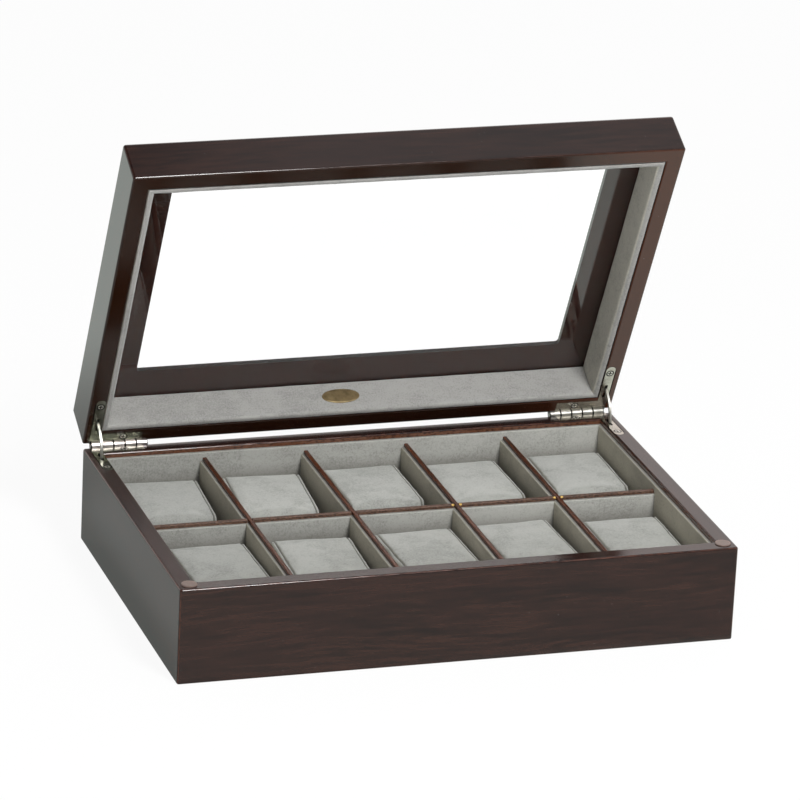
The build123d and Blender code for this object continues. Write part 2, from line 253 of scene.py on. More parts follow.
def makeNapGroup():
    # brushed micro-suede: soft hand marks, lay of the nap and short fibres
    group, given, end = newGroup("suedeNap", {
        "Vector": "Vector", "Pale": "Color", "Deep": "Color", "Marks": "Float", "Fibres": "Float"},
        {"Color": "Color", "Height": "Float"})
    vector = given["Vector"]
    marks = noiseNode(group, vector, 34.0, 3.0, 0.55, 0.8)
    lay = noiseNode(group, stretched(group, vector, (120, 150, 260), (2, 3, 5)), 1.0, 3.0, 0.6)
    mottle = noiseNode(group, vector, 880.0, 6.0, 0.80, 0.4)
    fibres = noiseNode(group, stretched(group, vector, (3800, 5200, 5200)), 1.0, 3.0, 0.75, 0.6)
    shade = times(group, rampMask(group, marks, 0.36, 0.66), given["Marks"])
    layShare = times(group, minus(group, lay, 0.5), 0.9)
    mottleShare = times(group, minus(group, mottle, 0.5), 3.8)
    fibreShare = times(group, minus(group, fibres, 0.5), given["Fibres"])
    shortNap = plus(group, mottleShare, fibreShare)
    shade = mathNode(group, "ADD", plus(group, shade, layShare), shortNap, True)
    shaded = mixColors(group, shade, given["Pale"], given["Deep"])
    height = plus(group, times(group, mottle, 0.6), times(group, fibres, 0.4))
    feed(group, end, {"Color": shaded, "Height": height})
    return group


grainGroup = makeGrainGroup()
edgeGroup = makeEdgeGroup()
napGroup = makeNapGroup()


def useGroup(tree, group, links, values=None):
    node = newNode(tree, "Group")
    node.node_tree = group
    feed(tree, node, links)
    setSockets(node, values or {})
    return node


def useGrain(tree, vector, tones, pores, streaks):
    values = {"Pores": pores, "Streaks": streaks}
    values.update({tone.capitalize(): tones[tone] for tone in ("dark", "mid", "warm")})
    return useGroup(tree, grainGroup, {"Vector": vector}, values)


def edgeMask(tree, vector, normal, amount):
    node = useGroup(tree, edgeGroup, {"Vector": vector, "Normal": normal}, {"Amount": amount})
    return node.outputs["Mask"]


def straightFrame(tree, turn):
    # object coordinates and normal, turned by this matrix so that a piece's grain runs along X
    coordinates = newNode(tree, "TexCoord")
    vector = newNode(tree, "Mapping")
    normal = newNode(tree, "Mapping")
    normal.vector_type = "VECTOR"
    feed(tree, vector, {"Vector": coordinates.outputs["Object"]})
    feed(tree, normal, {"Vector": coordinates.outputs["Normal"]})
    angles = turn.to_euler("XYZ")
    setSockets(vector, {"Location": turn.translation, "Rotation": angles})
    setSockets(normal, {"Rotation": angles})
    return vector.outputs[0], normal.outputs[0]


def pathShares(tree):
    # 1 where a surface is seen directly or through the pane, and where it is seen in something glossy
    path = newNode(tree, "LightPath")
    unmirrored = isBelow(tree, path.outputs["Glossy Depth"], 0.5)
    unscattered = isBelow(tree, path.outputs["Diffuse Depth"], 0.5)
    behindPane = times(tree, path.outputs["Is Transmission Ray"], unscattered)
    throughPane = times(tree, behindPane, unmirrored)
    seen = larger(tree, path.outputs["Is Camera Ray"], throughPane)
    mirrored = mathNode(tree, "SUBTRACT", path.outputs["Is Glossy Ray"], throughPane, True)
    return seen, mirrored, throughPane


lacquer = {
    "dark": color(0.0095, 0.0036, 0.0030),
    "mid": color(0.0275, 0.0102, 0.0075),
    "warm": color(0.050, 0.0205, 0.0125),
    "rubbed": color(0.13, 0.040, 0.020),
    "baseRub": 0.55,
    "lidRub": 0.3,
    "gloss": (0.04, 0.09),  # roughness of clear and of dulled lacquer
    "rimGloss": 0.10,  # added where the rims have been polished less
    "leftRimGloss": 0.30,
    "edgeGloss": 0.10,
    "ior": 1.5,
    "satin": 0.45,  # roughness of the lid's rails behind the glass
    "satinTone": color(0.066, 0.0085, 0.0012),
    "satinShare": 0.9,
    "smearTone": color(0.15, 0.13, 0.125),  # pale streaks behind the glass, on the left: partly smudges, partly painted reflection of the lining
    "smearMost": 0.55,
    "shoulders": (-69.0 * mm, 73.2 * mm),  # where the left rail's ends are halved into their neighbours
    "shoulderLine": (0.45 * mm, 0.15 * mm),  # from here to there the line of the joint rises
    "shoulderMost": 0.4,
    "dustTone": color(0.22, 0.21, 0.20),
    "dustMost": 0.4,
    "lidRimTones": (color(0.018, 0.0050, 0.0012), color(0.066, 0.020, 0.0085)),  # painted light: dark at the left, lighter towards the right wall
    "lidRimReach": (80 * mm, 165 * mm),
    "lidRimShare": 0.85,
    "lidFade": 0.38,  # the lid's lacquer is that much darker
    "cutTone": color(0.006, 0.003, 0.002),  # painted shade where the hinges are let in
    "insideTone": color(0.16, 0.066, 0.036),  # thinner stain on the inner faces
    "insideMost": 0.85,
}


def facingShare(tree, normal, axis, sign, low=0.5, high=0.9):
    # 1 on faces that look along this axis (0, 1 or 2), forwards or backwards
    parts = axesOf(tree, normal)
    return rampMask(tree, times(tree, parts[axis], sign), low, high)


def between(tree, value, ends):
    above = isAbove(tree, value, ends[0])
    return times(tree, above, isBelow(tree, value, ends[1]))


def insideShare(tree, vector, reach):
    # 1 on the inner side of the case's walls
    parts = absoluteOf(tree, vector)
    return times(tree, isBelow(tree, parts[0], reach[0]), isBelow(tree, parts[1], reach[1]))


def smudgeAndReflectionShare(tree, vector):
    # pale streaks along the left rail, partly smudges and partly painted reflection of the lining, and the
    # lines of its shoulders
    streaks = noiseNode(tree, stretched(tree, vector, (16, 150, 150)), 1.0, 5.0, 0.65)
    grit = noiseNode(tree, vector, 520.0, 3.0, 0.7)
    share = times(tree, rampMask(tree, streaks, 0.50, 0.76), rampMask(tree, grit, 0.40, 0.66))
    share = times(tree, share, lacquer["smearMost"])
    parts = axesOf(tree, straightFrame(tree, closeLid)[0])
    for shoulder in lacquer["shoulders"]:
        away = unsigned(tree, minus(tree, parts["Y"], shoulder))
        line = rampMask(tree, away, *lacquer["shoulderLine"])
        share = larger(tree, share, times(tree, line, lacquer["shoulderMost"]))
    return times(tree, share, isBelow(tree, parts["X"], -0.1))


def dustShare(tree, vector):
    # a few fine specks that cling to the lacquer
    specks = rampMask(tree, noiseNode(tree, vector, 760.0, 1.0), 0.79, 0.85)
    return times(tree, specks, lacquer["dustMost"])


recess = {  # where the hinges' side legs are let into the walls
    "across": (164.3 * mm, 173.0 * mm),
    "behind": 76 * mm,
    "heights": (40 * mm, 60.35 * mm),
}


def recessShadeShare(tree, place):
    # painted shade: 1 below the rims, within the recesses
    parts = axesOf(tree, place)
    within = between(tree, unsigned(tree, parts["X"]), recess["across"])
    nearHinge = isAbove(tree, parts["Y"], recess["behind"])
    return times(tree, times(tree, within, nearHinge), between(tree, parts["Z"], recess["heights"]))


def makeLacquer(name, turn, rubbing, reach=None, satin=False, smudgedAndReflecting=False):
    material, tree, shader = newMaterial(name)
    vector, normal = straightFrame(tree, turn)
    grain = useGrain(tree, vector, lacquer, 0.35, 0.4)
    wood = mixColors(tree, edgeMask(tree, vector, normal, rubbing), grain.outputs["Color"], lacquer["rubbed"])
    roughness = spreadBetween(tree, noiseNode(tree, vector, 28.0, 4.0, 0.6), lacquer["gloss"], (0.3, 0.75))
    rim = facingShare(tree, normal, 2, 1 if reach else -1)
    sheen = plus(tree, roughness, times(tree, rim, lacquer["rimGloss"]))
    sheen = plus(tree, sheen, edgeMask(tree, vector, normal, lacquer["edgeGloss"]))
    place = newNode(tree, "TexCoord").outputs["Object"]
    if satin:
        under = facingShare(tree, normal, 2, -1)
        behindGlass = mixColors(tree, lacquer["satinShare"], grain.outputs["Color"], lacquer["satinTone"])
        if smudgedAndReflecting:
            behindGlass = mixColors(tree, smudgeAndReflectionShare(tree, vector), behindGlass, lacquer["smearTone"])
        wood = mixColors(tree, under, wood, behindGlass)
        sheen = plus(tree, sheen, times(tree, under, lacquer["satin"]))
    elif not reach:
        # painted light: the lid's rim lightens towards the right
        rightwards = rampMask(tree, axesOf(tree, place)["X"], *lacquer["lidRimReach"])
        rimLight = mixColors(tree, rightwards, *lacquer["lidRimTones"])
        wood = mixColors(tree, lacquer["lidFade"], wood, lacquer["dark"])
        wood = mixColors(tree, times(tree, rim, lacquer["lidRimShare"]), wood, rimLight)
    if reach:
        onLeft = isBelow(tree, axesOf(tree, place)["X"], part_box("base_left_wall")[1].x)
        sheen = plus(tree, sheen, times(tree, times(tree, rim, onLeft), lacquer["leftRimGloss"]))
        wood = mixColors(tree, recessShadeShare(tree, place), wood, lacquer["cutTone"])
        inner = insideShare(tree, vector, reach)
        crumbs = noiseNode(tree, stretched(tree, vector, (300, 900, 900)), 1.0, 3.0, 0.7)
        inner = times(tree, inner, rampMask(tree, crumbs, 0.25, 0.6))
        wood = mixColors(tree, times(tree, inner, lacquer["insideMost"]), wood, lacquer["insideTone"])
    wood = mixColors(tree, dustShare(tree, vector), wood, lacquer["dustTone"])
    ripple = bumpNode(tree, noiseNode(tree, vector, 60.0, 2.0), 0.00005, 0.12)
    relief = bumpNode(tree, grain.outputs["Height"], 0.000006, 0.3, ripple)
    feed(tree, shader, {"Base Color": wood, "Roughness": sheen, "Normal": relief})
    setSockets(shader, {"IOR": lacquer["ior"]})
    return material


dividerWood = {
    "dark": color(0.016, 0.006, 0.004),
    "mid": color(0.050, 0.019, 0.011),
    "warm": color(0.225, 0.108, 0.066),
    "rubbed": color(0.12, 0.046, 0.026),
    "crumbSize": 1300.0,
    "longTone": color(1.65, 1.22, 0.95),  # the long boards are redder and duller than the cross board
    "longGloss": 0.22,
    "crossTone": color(0.72, 0.80, 0.84),
    "crossGloss": 0.5,
}


def makeDividerWood(name, turn, streaks, roughness, board, specks=()):
    material, tree, shader = newMaterial(name)
    vector, normal = straightFrame(tree, turn)
    grain = useGrain(tree, vector, dividerWood, 0.9, 0.6 * streaks)
    wood = mixColors(tree, edgeMask(tree, vector, normal, 0.5), grain.outputs["Color"], dividerWood["rubbed"])
    crumbs = noiseNode(tree, stretched(tree, vector, (0.4, 1, 1)), dividerWood["crumbSize"], 4.0, 0.7)
    raised = times(tree, rampMask(tree, crumbs, 0.36, 0.66), streaks)
    wood = mixColors(tree, raised, wood, dividerWood["warm"])
    wood = tint(tree, 1.0, wood, dividerWood[board + "Tone"])
    wood = rawSpecks(tree, wood, vector, specks)
    height = plus(tree, grain.outputs["Height"], times(tree, crumbs, 2.0 * streaks))
    feed(tree, shader, {"Base Color": wood, "Normal": bumpNode(tree, height, 0.0002, 0.6)})
    gloss = dividerWood[board + "Gloss"]
    setSockets(shader, {"Roughness": roughness, "IOR": 1.45, "Specular IOR Level": gloss})
    return material


slotChip = {
    "radius": 1.1 * mm,
    "aside": 1.0 * mm,
    "forward": 1.2 * mm,
    "tone": color(0.72, 0.46, 0.12),
}


def rawSpecks(tree, wood, vector, places):
    # bare pale wood where a saw cut has chipped the stain
    radius = slotChip["radius"]
    for place in places:
        ragged = times(tree, noiseNode(tree, vector, 1500.0, 2.0), radius)
        reach = plus(tree, distanceFrom(tree, vector, place), ragged)
        wood = mixColors(tree, rampMask(tree, reach, 1.55 * radius, 1.2 * radius), wood, slotChip["tone"])
    return wood


bottomBoard = {
    "dark": color(0.012, 0.008, 0.006),
    "mid": color(0.028, 0.017, 0.012),
    "warm": color(0.05, 0.028, 0.018),
    "roughness": 0.62,
}


def makeBoard():
    material, tree, shader = newMaterial("stainedBoard")
    grain = useGrain(tree, straightFrame(tree, asDrawn)[0], bottomBoard, 1.0, 0.5)
    relief = bumpNode(tree, grain.outputs["Height"], 0.0001, 0.6)
    feed(tree, shader, {"Base Color": grain.outputs["Color"], "Normal": relief})
    setSockets(shader, {"Roughness": bottomBoard["roughness"], "IOR": 1.45})
    return material


suede = {
    "frontReach": (-150 * mm, 170 * mm),  # painted light: faces turned to the front brighten from left to right
    "frontSides": (color(0.92, 0.92, 0.92), color(1.21, 1.21, 1.21)),
    "rowReach": (20 * mm, -85 * mm),  # painted light and shade: the cushions lighter at the back, darker towards the front
    "rows": (color(1.08, 1.08, 1.08), color(0.83, 0.83, 0.82)),
    "slopeTone": color(0.80, 0.80, 0.79),  # painted shade where a cushion's crown falls to the front
    "leftReach": (-95 * mm, -112 * mm),  # painted shade on the two cushions at the left
    "leftWorn": color(0.88, 0.88, 0.88),
    "worn": color(0.48, 0.48, 0.44),
    "rub": 0.3,
    "fibres": 0.55,
    "baseSides": (color(1.22, 1.13, 0.95), color(1.46, 1.37, 1.18)),  # painted light on faces turned to the left: at the left end and at the right
    "lidSides": (color(1.70, 1.66, 1.50),) * 2,
    "cushionSides": (color(1.04, 1.0, 0.90),) * 2,
    "sideReach": (-120 * mm, 160 * mm),
    "seamShade": color(0.05, 0.048, 0.043),
    "seamShare": 0.8,
    "lowTone": color(0.082, 0.068, 0.050),  # painted shade deep in a compartment; also the glue on the boards' tops
    "lowShare": 0.72,
    "topShare": 0.5,  # the boards' narrow tops are darker with glue
    "roughness": 0.92,
    "sheen": 0.35,
    "sheenTint": color(0.9, 0.92, 0.9),
}


def makeSuede(name, turn, pale, deep, marks, leftFacingLight, seam=False, low=None):
    material, tree, shader = newMaterial(name)
    vector, normal = straightFrame(tree, turn)
    nap = useGroup(tree, napGroup, {"Vector": vector}, {
        "Pale": pale, "Deep": deep, "Marks": marks, "Fibres": suede["fibres"]})
    rubbed = edgeMask(tree, vector, normal, 0.0 if seam else suede["rub"])
    shown = mixColors(tree, rubbed, nap.outputs["Color"], suede["worn"])
    parts = axesOf(tree, vector)
    # painted light on faces turned to the left, rising from left to right
    sideLight = mixColors(tree, rampMask(tree, parts["X"], *suede["sideReach"]), *suede[leftFacingLight])
    shown = tint(tree, facingShare(tree, normal, 0, -1), shown, sideLight)
    if low:
        # painted light on faces turned to the front
        frontTone = mixColors(tree, rampMask(tree, parts["X"], *suede["frontReach"]), *suede["frontSides"])
        shown = tint(tree, facingShare(tree, normal, 1, -1), shown, frontTone)
        boardTop = times(tree, facingShare(tree, normal, 2, 1, 0.6, 0.95), suede["topShare"])
        shown = mixColors(tree, boardTop, shown, suede["lowTone"])
        # painted shade, deeper further down in a compartment
        sunk = times(tree, rampMask(tree, parts["Z"], low[1], low[0]), suede["lowShare"])
        shown = mixColors(tree, sunk, shown, suede["lowTone"])
    if seam:
        rowShadeTint = mixColors(tree, rampMask(tree, parts["Y"], *suede["rowReach"]), *suede["rows"])
        shown = tint(tree, 1.0, shown, rowShadeTint)
        shown = tint(tree, facingShare(tree, normal, 1, -1, 0.04, 0.40), shown, suede["slopeTone"])
        shown = tint(tree, rampMask(tree, parts["X"], *suede["leftReach"]), shown, suede["leftWorn"])
        groove = newNode(tree, "Attribute")
        groove.attribute_name = "seamDepth"
        shade = times(tree, groove.outputs["Fac"], suede["seamShare"])
        shown = mixColors(tree, shade, shown, suede["seamShade"])
    feed(tree, shader, {"Base Color": shown, "Normal": bumpNode(tree, nap.outputs["Height"], 0.00035, 0.55)})
    setSockets(shader, {
        "Roughness": suede["roughness"], "IOR": 1.3, "Sheen Weight": suede["sheen"], "Sheen Roughness": 0.45,
        "Sheen Tint": suede["sheenTint"]})
    return material


hinge = {
    "barrelEnd": 169.8 * mm,  # measured from the middle of the case
    "knucklePitch": 7.3 * mm,
    "barrelRadius": 3.0 * mm,
    "splitHalf": 0.66 * mm,  # half the width of the painted shade line between two knuckles
    "barrelDull": 0.16,  # added roughness on the rubbed knuckles
    "barrelTones": (color(1.10, 1.03, 1.08), color(0.99, 1.0, 0.99)),  # painted reflection tint, left and right
    "leafShades": (color(0.60, 0.62, 0.56), color(1.0, 0.97, 0.92)),  # painted reflection, darker and greener on the left leaves
    "armSeen": 0.1 * mm,  # how far into a leaf an arm still shines
    # painted shade on an arm where it is sunk in a leaf
    "sunkTone": color(0.10, 0.10, 0.088),
    "plateInPane": color(0.205, 0.197, 0.188),  # the plate's faint image in the pane, as pale as the lining's
    "screwPlaces": ((167.7 * mm, 83.0 * mm), (149.4 * mm, 111.3 * mm)),
    "screwHead": 2.2 * mm,  # radius
    "screwRing": (0.60 * mm, 0.20 * mm),  # painted shade rises between these distances from the head's edge
    "crossHalf": 0.38 * mm,
    "crossReach": 1.5 * mm,
    "grime": color(0.003, 0.0025, 0.002),
    "rub": 0.6,
}


def squaresSum(tree, first, second):
    return plus(tree, times(tree, first, first), times(tree, second, second))


def barrelMasks(tree, vector):
    # on the barrel, and painted shade where two knuckles of it meet
    parts = axesOf(tree, vector)
    along = minus(tree, hinge["barrelEnd"], unsigned(tree, parts[0]))
    fromSplit = mathNode(tree, "PINGPONG", along, hinge["knucklePitch"] / 2)
    near = rampMask(tree, fromSplit, hinge["splitHalf"], 0.55 * hinge["splitHalf"])
    aside = minus(tree, parts[1], pinPlace.y)
    above = minus(tree, parts[2], pinPlace.z)
    onBarrel = isBelow(tree, squaresSum(tree, aside, above), hinge["barrelRadius"] ** 2)
    return onBarrel, times(tree, near, onBarrel)


def screwMasks(tree, vector):
    # painted shade in a ring round each screw's head, and in the cross cut in it, seen in plan
    parts = axesOf(tree, vector)
    ring = cross = 0.0
    for place in hinge["screwPlaces"]:
        acrossX = unsigned(tree, minus(tree, unsigned(tree, parts[0]), place[0]))
        acrossY = unsigned(tree, minus(tree, parts[1], place[1]))
        away = mathNode(tree, "SQRT", squaresSum(tree, acrossX, acrossY))
        fromEdge = unsigned(tree, minus(tree, away, hinge["screwHead"]))
        ring = larger(tree, ring, rampMask(tree, fromEdge, *hinge["screwRing"]))
        narrow = isBelow(tree, mathNode(tree, "MINIMUM", acrossX, acrossY), hinge["crossHalf"])
        short = isBelow(tree, larger(tree, acrossX, acrossY), hinge["crossReach"])
        cross = larger(tree, cross, times(tree, narrow, short))
    return ring, cross


def sunkShare(tree, place):
    # 1 where an arm has gone into the base's leaf or the lid's, for painted shade
    parts = axesOf(tree, place)
    forward = minus(tree, pinPlace.y, parts[1])
    above = minus(tree, parts[2], pinPlace.z)
    pastLid = minus(tree, times(tree, above, math.cos(openAngle)), times(tree, forward, math.sin(openAngle)))
    inLid = isAbove(tree, pastLid, hinge["armSeen"])
    return larger(tree, isBelow(tree, above, -hinge["armSeen"]), inLid)


def makeMetal(name, turn, bright, dull, roughness, scratch, marks=""):
    material, tree, shader = newMaterial(name)
    vector, normal = straightFrame(tree, turn)
    cloud = noiseNode(tree, vector, 140.0, 4.0, 0.65)
    tone = mixColors(tree, rampMask(tree, cloud, 0.35, 0.75), bright, dull)
    tone = mixColors(tree, edgeMask(tree, vector, normal, hinge["rub"]), tone, bright)
    if marks == "arm":
        # painted shade where the arm is sunk in a leaf
        tone = mixColors(tree, sunkShare(tree, vector), tone, hinge["sunkTone"])
    elif marks == "plate":
        tone = mixColors(tree, pathShares(tree)[1], tone, hinge["plateInPane"])
    elif marks:
        # painted shade round and in the screws, between knuckles and on the leaves' upright faces
        ring, cross = screwMasks(tree, vector)
        grime = ring if marks == "leaf" else larger(tree, ring, cross)
        if marks == "leaf":
            onBarrel, split = barrelMasks(tree, vector)
            onRight = isAbove(tree, axesOf(tree, vector)["X"], 0.0)
            leafReflection = mixColors(tree, onRight, *hinge["leafShades"])
            tone = tint(tree, minus(tree, 1.0, onBarrel), tone, leafReflection)
            tone = tint(tree, onBarrel, tone, mixColors(tree, onRight, *hinge["barrelTones"]))
            grime = larger(tree, grime, split)
            # painted shade on the leaves' upright faces
            upwards, downwards = (facingShare(tree, normal, 2, sign, 0.2, 0.6) for sign in (1, -1))
            upright = minus(tree, 1.0, plus(tree, upwards, downwards))
            grime = larger(tree, grime, mathNode(tree, "SUBTRACT", upright, onBarrel, True))
        tone = mixColors(tree, grime, tone, hinge["grime"])
    scratches = noiseNode(tree, stretched(tree, vector, (300, 2600, 2600)), 1.0, 3.0, 0.7)
    dulled = spreadBetween(tree, scratches, roughness)
    if marks == "leaf":
        dulled = plus(tree, dulled, times(tree, onBarrel, hinge["barrelDull"]))
    relief = bumpNode(tree, scratches, scratch, 0.5)
    feed(tree, shader, {"Base Color": tone, "Roughness": dulled, "Normal": relief})
    setSockets(shader, {"Metallic": 1.0})
    return material


def makeGlass():
    material, _, shader = newMaterial("paneGlass")
    setSockets(shader, {
        "Base Color": color(0.994, 1.0, 0.997), "Roughness": 0.0, "IOR": 1.45, "Transmission Weight": 1.0})
    return material


bumper = {
    "tones": (color(0.50, 0.33, 0.27), color(0.68, 0.48, 0.41)),
    "roughness": 0.32,
    "clear": 0.72,
}


def makeBumper():
    material, tree, shader = newMaterial("softBumper")
    haze = noiseNode(tree, straightFrame(tree, asDrawn)[0], 700.0, 3.0, 0.6)
    tone = mixColors(tree, haze, *bumper["tones"])
    feed(tree, shader, {"Base Color": tone, "Normal": bumpNode(tree, haze, 0.00008, 0.4)})
    setSockets(shader, {
        "Roughness": bumper["roughness"], "IOR": 1.42, "Transmission Weight": bumper["clear"]})
    return material


print("watch box: materials")


def chipPlaces():
    # at the slots of the third and fourth long dividers, on the cross divider's top edges
    places = []
    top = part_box("cross_divider")[1].z
    for index in (3, 4):
        low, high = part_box(f"long_divider_{index}")
        for x, side in ((low.x, -1), (high.x, 1)):
            places.append((x + side * slotChip["aside"], -slotChip["forward"], top))
    return places


def innerReach(turned):
    # half the clear width and depth between the base's walls, along and across the grain
    width = -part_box("base_left_liner")[0].x
    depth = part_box("base_back_liner")[1].y
    slack = 0.05 * mm
    return (depth + slack, width + slack) if turned else (width + slack, depth + slack)


# bright and dull tone, range of roughness and depth of scratches
metals = {
    "leaf": (color(0.54, 0.525, 0.49), color(0.40, 0.39, 0.36), (0.16, 0.24), 0.000001),
    "screws": (color(0.88, 0.86, 0.80), color(0.66, 0.64, 0.58), (0.40, 0.50), 0.000004),
    "arm": (color(0.56, 0.55, 0.51), color(0.42, 0.41, 0.37), (0.34, 0.44), 0.000002),
    "plate": (color(0.44, 0.33, 0.17), color(0.24, 0.18, 0.09), (0.30, 0.48), 0.00003),
}
# pale and deep tone and strength of the hand marks
suedes = {
    "base": (color(0.385, 0.385, 0.36), color(0.22, 0.22, 0.20), 0.3),
    "lid": (color(0.345, 0.34, 0.325), color(0.20, 0.197, 0.187), 0.35),
    "cushion": (color(0.45, 0.455, 0.43), color(0.27, 0.275, 0.256), 0.45),
}
shadeDepths = (29 * mm, 50 * mm)  # the painted shade is full up to the first height, and gone from the second

materials = {
    "longLacquer": makeLacquer("lacquerLong", asDrawn, lacquer["baseRub"], innerReach(False)),
    "sideLacquer": makeLacquer("lacquerSide", quarterTurn, lacquer["baseRub"], innerReach(True)),
    "lidLongRail": makeLacquer("lacquerRailLong", closeLid, 0.0, satin=True),
    "lidSideRail": makeLacquer("lacquerRailSide", quarterTurn @ closeLid, 0.0, satin=True, smudgedAndReflecting=True),
    "lidLongLacquer": makeLacquer("lacquerLidLong", closeLid, lacquer["lidRub"]),
    "lidSideLacquer": makeLacquer("lacquerLidSide", quarterTurn @ closeLid, lacquer["lidRub"]),
    "crossWood": makeDividerWood("dividerCross", asDrawn, 1.0, 0.5, "cross", chipPlaces()),
    "longWood": makeDividerWood("dividerLong", quarterTurn, 0.15, 0.22, "long"),
    "board": makeBoard(),
    "baseSuede": makeSuede("suedeLining", asDrawn, *suedes["base"], "baseSides", low=shadeDepths),
    "lidSuede": makeSuede("suedeLidLining", closeLid, *suedes["lid"], "lidSides"),
    "cushionSuede": makeSuede("suedeCushion", asDrawn, *suedes["cushion"], "cushionSides", seam=True),
    "leaf": makeMetal("nickelLeaf", asDrawn, *metals["leaf"], "leaf"),
    "lidLeaf": makeMetal("nickelLidLeaf", closeLid, *metals["leaf"], "leaf"),
    "screws": makeMetal("nickelScrews", asDrawn, *metals["screws"], "screws"),
    "lidScrews": makeMetal("nickelLidScrews", closeLid, *metals["screws"], "screws"),
    "arm": makeMetal("nickelArm", asDrawn, *metals["arm"], "arm"),
    "pin": makeMetal("nickelPin", asDrawn, *metals["leaf"]),
    "brass": makeMetal("plateBrass", closeLid, *metals["plate"], "plate"),
    "glass": makeGlass(),
    "bumper": makeBumper(),
}


named = {
    "cross_divider": "crossWood", "bottom_panel": "board", "glass_pane": "glass", "oval_plate": "brass",
    "base_hinge_screws": "screws", "lid_hinge_screws": "lidScrews", "floor_liner": "baseSuede",
}
endings = {
    "_bumper": "bumper", "_base_leaf": "leaf", "_lid_leaf": "lidLeaf", "_stay_arm": "arm", "_pin": "pin",
    "_facings": "baseSuede",
}


def finishOf(node):
    along = "Long" if "front" in node or "back" in node else "Side"
    if node in named:
        return named[node]
    if node.startswith("cushion"):
        return "cushionSuede"
    if node.startswith("long_divider") and not node.endswith("_facings"):
        return "longWood"
    if node.endswith("_rail"):
        return "lid" + along + "Rail"
    if node.endswith("_wall"):
        return ("lid" + along if node.startswith("lid") else along.lower()) + "Lacquer"
    if node.endswith("_liner"):
        return "baseSuede" if node.startswith("base") else "lidSuede"
    return next(finish for ending, finish in endings.items() if node.endswith(ending))


for nodeName, nodeObject in nodes.items():
    for materialSlot in nodeObject.material_slots:
        materialSlot.material = materials[finishOf(nodeName)]
print("watch box: finishes on the frame's own pieces")


cushion = {
    "start": 0.35 * mm,  # how much smaller than its space a cushion starts, all round
    "topRound": 4.0 * mm,
    "footRound": 4.5 * mm,
    "endRound": 1.0 * mm,
    "voxel": 1.7 * mm,
    "pressure": 4.0,
    "stiffness": 25,
    "bending": 2.0,
    "frames": 20,
    "cap": 1.2 * mm,
    "crown": 0.5 * mm,
    "seamInset": 2.6 * mm,
    "seamHalfWidth": 0.5 * mm,
    "seamDepth": 1.3 * mm,
    "pucker": 0.22 * mm,
    "puckerSize": 5.5 * mm,
    "puckerFade": 9 * mm,  # how far from a seam the puckers reach
    "sag": 0.35 * mm,
    "sagSize": 26 * mm,
    "sideSlack": 0.3 * mm,
}


def openMesh():
    bpy.ops.object.mode_set(mode="EDIT")
    bpy.ops.mesh.select_all(action="SELECT")


def closeMesh():
    bpy.ops.object.mode_set(mode="OBJECT")


def editOnly(piece):
    bpy.ops.object.select_all(action="DESELECT")
    piece.select_set(True)
    bpy.context.view_layer.objects.active = piece


def copyOf(source, name):
    piece = source.copy()
    piece.data = source.data.copy()
    piece.name = name
    bpy.context.scene.collection.objects.link(piece)
    return piece


def selectEdges(piece, wanted):
    # in object mode: selects the edges whose two ends pass the test
    mesh = piece.data
    for part in (mesh.vertices, mesh.edges, mesh.polygons):
        part.foreach_set("select", [False] * len(part))
    for edge in mesh.edges:
        first, second = (mesh.vertices[index].co for index in edge.vertices)
        edge.select = wanted(first, second)


def bevelEdges(piece, wanted, width, segments):
    editOnly(piece)
    bpy.ops.object.mode_set(mode="EDIT")
    bpy.ops.mesh.select_mode(type="EDGE")
    closeMesh()
    selectEdges(piece, wanted)
    bpy.ops.object.mode_set(mode="EDIT")
    bpy.ops.mesh.bevel(offset=width, segments=segments, affect="EDGES")
    closeMesh()


def nodeTurn(node):
    # how far a cushion is turned about Z, from the way its flat ends face
    facing = Vector((0, 0, 0))
    for face in nodes[node].data.polygons:
        if abs(face.normal.z) < 0.01 and face.normal.x > 0.9:
            facing += face.normal * face.area
    return math.atan2(facing.y, facing.x)


def cushionSpace(node):
    # centre, turn and straight size of the space that a cushion fills
    low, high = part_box(node)
    centre = (low + high) / 2
    turn = nodeTurn(node)
    undo = Matrix.Rotation(-turn, 4, "Z") @ Matrix.Translation(-centre)
    corners = [undo @ vertex.co for vertex in nodes[node].data.vertices]
    size = Vector([2 * max(corner[axis] for corner in corners) for axis in range(3)])
    return centre, turn, size


def makeCushionShape(size):
    inner = size - Vector((2, 2, 2)) * cushion["start"]
    bpy.ops.object.select_all(action="DESELECT")
    bpy.ops.mesh.primitive_cube_add(size=1.0)
    piece = bpy.context.active_object
    piece.scale = inner
    bpy.ops.object.transform_apply(location=False, rotation=False, scale=True)
    along = lambda a, b: abs(a.x - b.x) > 0.5 * inner.x
    bevelEdges(piece, lambda a, b: along(a, b) and a.z > 0, cushion["topRound"], 8)
    foot = lambda a, b: a.z < 0 and b.z < 0 and abs(a.z) > 0.45 * inner.z
    bevelEdges(piece, lambda a, b: along(a, b) and foot(a, b), cushion["footRound"], 5)
    atEnd = lambda a, b: min(abs(a.x), abs(b.x)) > inner.x / 2 - 1e-5 and a.x * b.x > 0
    bevelEdges(piece, atEnd, cushion["endRound"], 3)
    return piece


